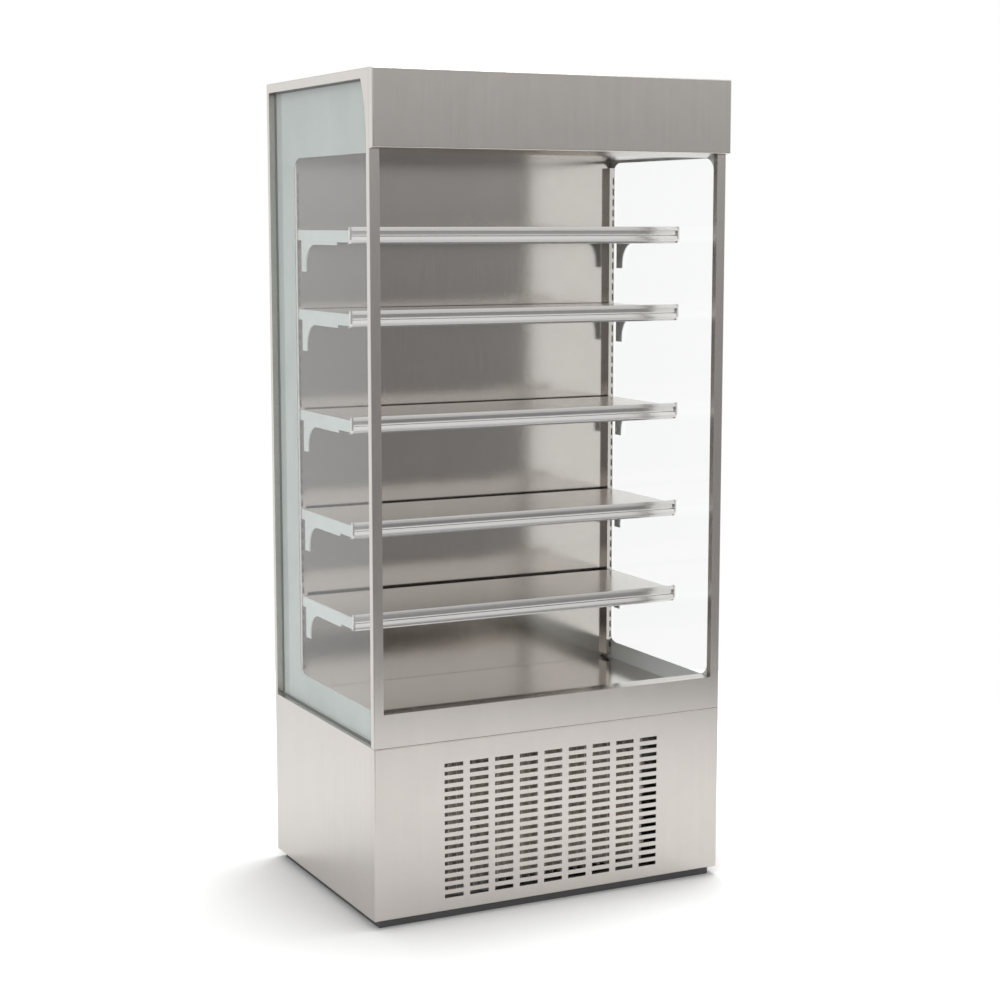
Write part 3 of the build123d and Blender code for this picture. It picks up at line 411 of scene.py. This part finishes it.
def anodised():
    """Satin anodised extrusion: die lines along its length."""
    material, tree, shader = finish_tree("satin_anodised", metallic=1.0)
    lines = apply_effect(tree, GRAIN, stretch=RAIL_GRAIN, fineness=900.0, bands=120.0)
    marks = apply_effect(tree, SMUDGE, size=9.0, cover=0.6)
    rub = apply_effect(tree, RUB, width=0.0004, amount=0.25)
    toned = blend_colours(tree, lines["Band"], (0.645, 0.63, 0.615), (0.675, 0.66, 0.645))
    colour = blend_colours(tree, rub["Rub"], toned, (0.82, 0.81, 0.79))
    level = maths(tree, "ADD", spread(tree, lines["Scratch"], 0.0, 1.0, 0.20, 0.22),
                  maths(tree, "MULTIPLY", marks["Smudge"], 0.04))
    wire(tree, shader, colour, level)
    return material


def fins():
    """Bare aluminium fins under patches of warm dirt."""
    material, tree, shader = finish_tree("bare_fins", metallic=0.6)
    lines = apply_effect(tree, GRAIN, stretch=FIN_GRAIN, fineness=500.0, bands=60.0)
    place = surface_place(tree)
    dirt = spread(tree, noise(tree, place, 14.0, 5.0, 0.7), 0.45, 0.75)
    toned = blend_colours(tree, lines["Band"], (0.66, 0.61, 0.56), (0.80, 0.75, 0.70))
    colour = blend_colours(tree, maths(tree, "MULTIPLY", dirt, 0.6), toned, (0.40, 0.36, 0.32))
    level = spread(tree, dirt, 0.0, 1.0, 0.36, 0.7)
    wire(tree, shader, colour, level, lines["Scratch"], 0.2, 0.0003)
    return material


def copper():
    """Drawn copper tube with brown tarnish."""
    material, tree, shader = finish_tree("drawn_copper", metallic=1.0)
    place = surface_place(tree)
    tarnish = spread(tree, noise(tree, place, 26.0, 5.0, 0.7), 0.4, 0.7)
    fine = noise(tree, place, 600.0, 2.0)
    colour = blend_colours(tree, tarnish, (0.80, 0.42, 0.26), (0.40, 0.20, 0.12))
    wire(tree, shader, colour, spread(tree, tarnish, 0.0, 1.0, 0.22, 0.5), fine, 0.08, 0.0002)
    return material


def opal():
    """Opal strip: milky, with a faint ribbed texture."""
    material, tree, shader = finish_tree("opal_strip", subsurface_weight=0.15)
    place = surface_place(tree)
    wave = node(tree, "ShaderNodeTexWave", {"Vector": place, "Scale": 90.0}, bands_direction="Y")
    cloud = spread(tree, noise(tree, place, 12.0, 3.0), *NOISE_MIDDLE)
    colour = blend_colours(tree, cloud, (0.86, 0.86, 0.85), (0.93, 0.93, 0.92))
    wire(tree, shader, colour, spread(tree, cloud, 0.0, 1.0, 0.38, 0.5), wave.outputs["Fac"], 0.1, 0.0003)
    return material


def glass():
    """Clear pane: faint green edge, a few wiping marks; shadow and diffuse rays pass straight through."""
    material, tree, shader = finish_tree("clear_pane", transmission_weight=1.0, ior=1.25)
    marks = apply_effect(tree, SMUDGE, size=2.5, cover=0.35)
    rim = apply_effect(tree, RUB, width=0.002, amount=0.8)
    colour = blend_colours(tree, rim["Rub"], (0.99, 1.0, 0.995), (0.55, 0.78, 0.70))
    wire(tree, shader, colour, maths(tree, "MULTIPLY", marks["Smudge"], 0.05))
    clear = node(tree, "ShaderNodeBsdfTransparent", {"Color": (0.96, 0.985, 0.975, 1.0)}).outputs[0]
    path = node(tree, "ShaderNodeLightPath").outputs
    passing = maths(tree, "MAXIMUM", path["Is Shadow Ray"], path["Is Diffuse Ray"])
    both = node(tree, "ShaderNodeMixShader", {0: passing, 1: shader.outputs[0], 2: clear}).outputs[0]
    tree.links.new(both, tree.nodes["Material Output"].inputs["Surface"])
    return material


FINISHES = {
    "brushed_stainless": stainless("brushed_stainless", 0.62, 0.23),
    "polished_stainless": stainless("polished_stainless", 0.56, 0.15, bands=12.0, contrast=0.01),
    "liner_white": powder_coat("white_powder_coat", (0.83, 0.86, 0.85), 0.38, (0.64, 0.65, 0.64)),
    "galvanised": galvanised(),
    "black_frame": powder_coat("black_powder_coat", (0.085, 0.085, 0.087), 0.4, (0.2, 0.2, 0.2)),
    "clear_glass": glass(),
    "gasket_rubber": rubber("grey_rubber", (0.26, 0.27, 0.27)),
    "black_rubber": rubber("black_rubber", (0.025, 0.025, 0.025)),
    "foam": foam(),
    "anodised": anodised(),
    "opal": opal(),
    "coil": fins(),
    "black_plastic": moulded("black_moulding", (0.022, 0.022, 0.024), 0.5),
    "white_plastic": moulded("white_moulding", (0.80, 0.80, 0.77), 0.45),
    "copper": copper(),
    "compressor_black": powder_coat(
        "black_enamel", (0.02, 0.02, 0.022), 0.24, (0.10, 0.10, 0.10), speckle=160.0
    ),
}
SLOTS = {part["node"]: part["material_slot"] for part in frame["record"]["subparts"]}


# ---------------------------------------------------------------- pieces


def dress_node(name):
    """Gives a CAD node the finish of its slot."""
    shape = frame["nodes"][name].data
    shape.materials.clear()
    shape.materials.append(FINISHES[SLOTS[name]])


def shade(shape, bend):
    """Faces shade smoothly; only edges sharper than a bend stay hard."""
    for face in shape.faces:
        face.smooth = True
    for edge in shape.edges:
        edge.smooth = edge.is_manifold and edge.calc_face_angle(0.0) < bend


def settle(shape, name, material):
    """Ends a bmesh: returns it as an object of one material."""
    mesh = bpy.data.meshes.new(name)
    shape.to_mesh(mesh)
    shape.free()
    mesh.materials.append(material)
    return link(mesh, name)


def stand_for(piece, node_name, body):
    """Shows a piece in place of one CAD node, on the node's body."""
    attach(piece, body)
    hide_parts(node_name)


def softened(name, body, width, segments):
    """Joined copy of a CAD node whose sharp edges are broken and whose bends shade smoothly."""
    shape = bmesh.new()
    shape.from_mesh(frame["nodes"][name].data)
    bmesh.ops.remove_doubles(shape, verts=shape.verts, dist=SAME_POINT)
    bmesh.ops.dissolve_limit(shape, angle_limit=FLAT_ANGLE, verts=shape.verts, edges=shape.edges)
    sharp = [edge for edge in shape.edges if edge.is_manifold and edge.calc_face_angle(0.0) > BEND_ANGLE]
    bmesh.ops.bevel(
        shape, geom=sharp, offset=width, segments=segments, profile=0.5,
        affect="EDGES", material=-1, clamp_overlap=True,
    )
    shade(shape, BEND_ANGLE)
    piece = settle(shape, f"{name}_finished", FINISHES[SLOTS[name]])
    normals = piece.modifiers.new("even_shading", "WEIGHTED_NORMAL")
    normals.keep_sharp = True
    stand_for(piece, name, body)


def arc(start, middle, end, steps):
    """Points of the circle through three points, the first left out."""
    (ax, ay), (bx, by), (cx, cy) = start, middle, end
    scale = 2 * (ax * (by - cy) + bx * (cy - ay) + cx * (ay - by))
    squares = (ax * ax + ay * ay, bx * bx + by * by, cx * cx + cy * cy)
    mid_x = (squares[0] * (by - cy) + squares[1] * (cy - ay) + squares[2] * (ay - by)) / scale
    mid_y = (squares[0] * (cx - bx) + squares[1] * (ax - cx) + squares[2] * (bx - ax)) / scale
    first = math.atan2(ay - mid_y, ax - mid_x)
    turn = math.remainder(math.atan2(cy - mid_y, cx - mid_x) - first, math.tau)
    radius = math.hypot(ax - mid_x, ay - mid_y)
    angles = [first + turn * step / steps for step in range(1, steps + 1)]
    return [
        (mid_x + radius * math.cos(angle), mid_y + radius * math.sin(angle)) for angle in angles
    ]


def extrude_across(shape, outline, left, right):
    """Closed prism across the cabinet from an outline of (y, z) points."""
    corners = [shape.verts.new((left, y, z)) for y, z in outline]
    face = shape.faces.new(corners)
    grown = bmesh.ops.extrude_face_region(shape, geom=[face])
    moved = [item for item in grown["geom"] if isinstance(item, bmesh.types.BMVert)]
    bmesh.ops.translate(shape, verts=moved, vec=(right - left, 0.0, 0.0))


def rail_outline(front, top):
    """Section of the price rail, in depth and drop from its front top edge.

    Lip and bead lean back a little, with the ticket groove between them.
    """

    def at(depth, drop):
        return (front + depth * MM, top - drop * MM)

    lip = [at(2.4, 0.2), at(2.1, 0.0), at(1.7, 0.2), at(0.1, 8.0), at(0.1, 8.8), at(0.4, 9.1)]
    channel = [at(5.4, 9.5), at(5.7, 9.8), at(5.7, 16.0)]
    slope = arc(at(5.7, 16.0), at(4.8, 19.2), at(2.4, 20.9), 6)
    bead = [at(2.3, 21.2), at(0.65, 27.4), at(0.5, 28.0), at(0.1, 32.4), at(0.4, 33.0), at(1.2, 33.3)]
    heel = [at(8.0, 34.4), at(8.2, 37.4), at(24.0, 38.5), at(24.0, 36.8), at(9.8, 35.8), at(9.8, 33.4)]
    back = [at(8.0, 32.0), at(8.0, 8.5), at(2.5, 8.5)]
    return lip + channel + slope + bead + heel + back


def price_rail(number, body):
    """Extruded price rail with its two moulded end caps."""
    name = f"price_rail_{number}"
    low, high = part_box(name)
    front = low[1] + RAIL_PLAY
    top = high[2] - RAIL_PLAY
    left, right = low[0] + RAIL_CAP, high[0] - RAIL_CAP
    shape = bmesh.new()
    extrude_across(shape, rail_outline(front, top), left, right)
    corners = [(-0.2, -0.2), (-0.2, 28.5), (3.0, 35.5), (8.0, 38.0), (8.0, -0.2)]
    cap_outline = [(front + depth * MM, top - drop * MM) for depth, drop in corners]
    extrude_across(shape, cap_outline, low[0], left)
    extrude_across(shape, cap_outline, right, high[0])
    bmesh.ops.recalc_face_normals(shape, faces=shape.faces)
    shade(shape, RAIL_ANGLE)
    piece = settle(shape, f"{name}_extrusion", FINISHES[SLOTS[name]])
    stand_for(piece, name, body)


def lining_sheet(name, section, left, right, finish):
    """Thin folded sheet across the cabinet from its section of (y, z) points."""
    shape = bmesh.new()
    extrude_across(shape, section, left, right)
    bmesh.ops.recalc_face_normals(shape, faces=shape.faces)
    piece = settle(shape, name, FINISHES[finish])
    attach(piece, CABINET)


def line_well():
    """Sheets over the bare foam: under the deck, and down the tub's front behind the service panel."""
    low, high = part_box("insulation_tub")
    left, right = low[0] + SHEET_INSET, high[0] - SHEET_INSET
    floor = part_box("deck_pan")[0][2]
    start, end = low[1] + 26.3 * MM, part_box("back_liner")[0][1] - 0.5 * MM
    under, over = floor + 0.02 * MM, floor + 0.3 * MM
    slope, rise = 0.4 * MM, 0.1 * MM
    floor_section = [
        (start, under), (end, under), (end, over), (start + slope, over), (start, under + rise),
    ]
    lining_sheet("well_floor_sheet", floor_section, left, right, "polished_stainless")
    behind, ahead = low[1] - 0.02 * MM, low[1] - 0.15 * MM
    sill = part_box("service_panel")[1][2]
    foot, hem, foot_width = low[2], low[2] + 4 * MM, 0.04 * MM
    front_section = [
        (behind, foot), (behind, sill), (ahead, sill), (ahead, hem), (behind - foot_width, foot),
    ]
    lining_sheet("tub_front_sheet", front_section, left, right, "galvanised")


def dress_pieces():
    """Every CAD node gets its finish; folded sheet, shelves and fittings also get soft edges."""
    bodies = frame["record"]["behaviour"]["bodies"]
    body_of = {name: body for body, names in bodies.items() for name in names}
    folded = ["header_fascia", "front_frame", "service_panel", "roof_panel"]
    for side in ("right", "left"):
        folded += [f"side_panel_{side}", f"side_frame_{side}"]
    shelf_parts = ["led_profile", "led_diffuser"]
    for number in SHELF_NUMBERS:
        shelf_parts += [f"shelf_brackets_{number}", f"shelf_pan_{number}"]
    fittings = [
        "compressor", "compressor_mounts", "condenser_fan", "condenser_fan_motor", "refrigerant_lines",
        "condensate_pan", "control_box", "light_switch", "evaporator_fan_1", "evaporator_fan_2",
    ]
    for name in frame["nodes"]:
        dress_node(name)
    for name in folded:
        softened(name, body_of[name], FOLD_BREAK, 2)
    for name in shelf_parts + fittings:
        softened(name, body_of[name], EDGE_BREAK, 1)
    for number in SHELF_NUMBERS:
        price_rail(number, body_of[f"price_rail_{number}"])


def lay_floor():
    """Round white floor that keeps the cabinet's soft shadow; its glow is painted ambient light, dimmed by
    occlusion into a painted contact shadow darkest where the two meet.
    """
    shape = bmesh.new()
    bmesh.ops.create_circle(shape, cap_ends=True, radius=FLOOR_RADIUS, segments=96)
    bmesh.ops.translate(shape, verts=shape.verts, vec=(0.0, 0.0, -FLOOR_DROP))
    material, tree, shader = finish_tree("floor_paint", roughness=0.9)
    cloud = spread(tree, noise(tree, surface_place(tree), 0.8, 3.0), *NOISE_MIDDLE)
    wire(tree, shader, blend_colours(tree, cloud, (0.86, 0.86, 0.86), (0.88, 0.88, 0.88)))
    path = node(tree, "ShaderNodeLightPath").outputs
    direct = maths(tree, "MAXIMUM", path["Is Camera Ray"], path["Is Transmission Ray"])
    seen = maths(tree, "MAXIMUM", direct, maths(tree, "MULTIPLY", path["Is Glossy Ray"], 0.2))
    # The glow is painted ambient light, also seen in the steel; occlusion dims it near the cabinet into a
    # painted contact shadow.
    reach = {"Distance": CONTACT_REACH}
    open_sky = node(tree, "ShaderNodeAmbientOcclusion", reach, samples=8).outputs["AO"]
    fill = maths(tree, "MULTIPLY", seen, spread(tree, open_sky, 0.5, 1.0, 0.0, FLOOR_FILL))
    shader.inputs["Emission Color"].default_value = WHITE
    tree.links.new(fill, shader.inputs["Emission Strength"])
    settle(shape, "studio_floor", material)


def light_studio():
    """White to the camera; in the steel, white behind the cabinet and greyer low down in front."""
    world = bpy.data.worlds.new("studio")
    bpy.context.scene.world = world
    world.use_nodes = True
    tree = world.node_tree
    tree.nodes.clear()
    way = node(tree, "ShaderNodeTexCoord").outputs["Generated"]
    axes = node(tree, "ShaderNodeSeparateXYZ", {0: way}).outputs
    horizon, shoulder, crest = -0.03, 0.16, 0.45
    dark, pale = 0.20, 0.78
    low_part = spread(tree, axes["Z"], horizon, shoulder, dark, pale)
    high_part = spread(tree, axes["Z"], shoulder, crest, 0.0, 1.0 - pale)
    rising = maths(tree, "ADD", low_part, high_part)
    behind = spread(tree, axes["Y"], -1.0, 0.4)
    missing = maths(tree, "SUBTRACT", 1.0, rising)
    level = maths(tree, "ADD", rising, maths(tree, "MULTIPLY", missing, behind))
    path = node(tree, "ShaderNodeLightPath").outputs
    softer = maths(tree, "SUBTRACT", 1.0, maths(tree, "MULTIPLY", path["Is Diffuse Ray"], 0.5))
    seen = maths(tree, "MAXIMUM", path["Is Camera Ray"], path["Is Transmission Ray"])
    strength = maths(tree, "MAXIMUM", seen, maths(tree, "MULTIPLY", level, softer))
    back = node(tree, "ShaderNodeBackground", {"Color": WHITE, "Strength": strength})
    out = node(tree, "ShaderNodeOutputWorld")
    tree.links.new(back.outputs[0], out.inputs["Surface"])
    place_lamp("soft_box_above", (0.65, 0.4, 5.0), 2.0, 155.0)
    place_lamp("soft_box_front_left", (-2.4, -3.4, 3.2), 2.4, 60.0, mirrored=False)


place_camera()
light_studio()
lay_floor()
dress_pieces()
line_well()

bpy.context.scene.view_settings.view_transform = "Standard"
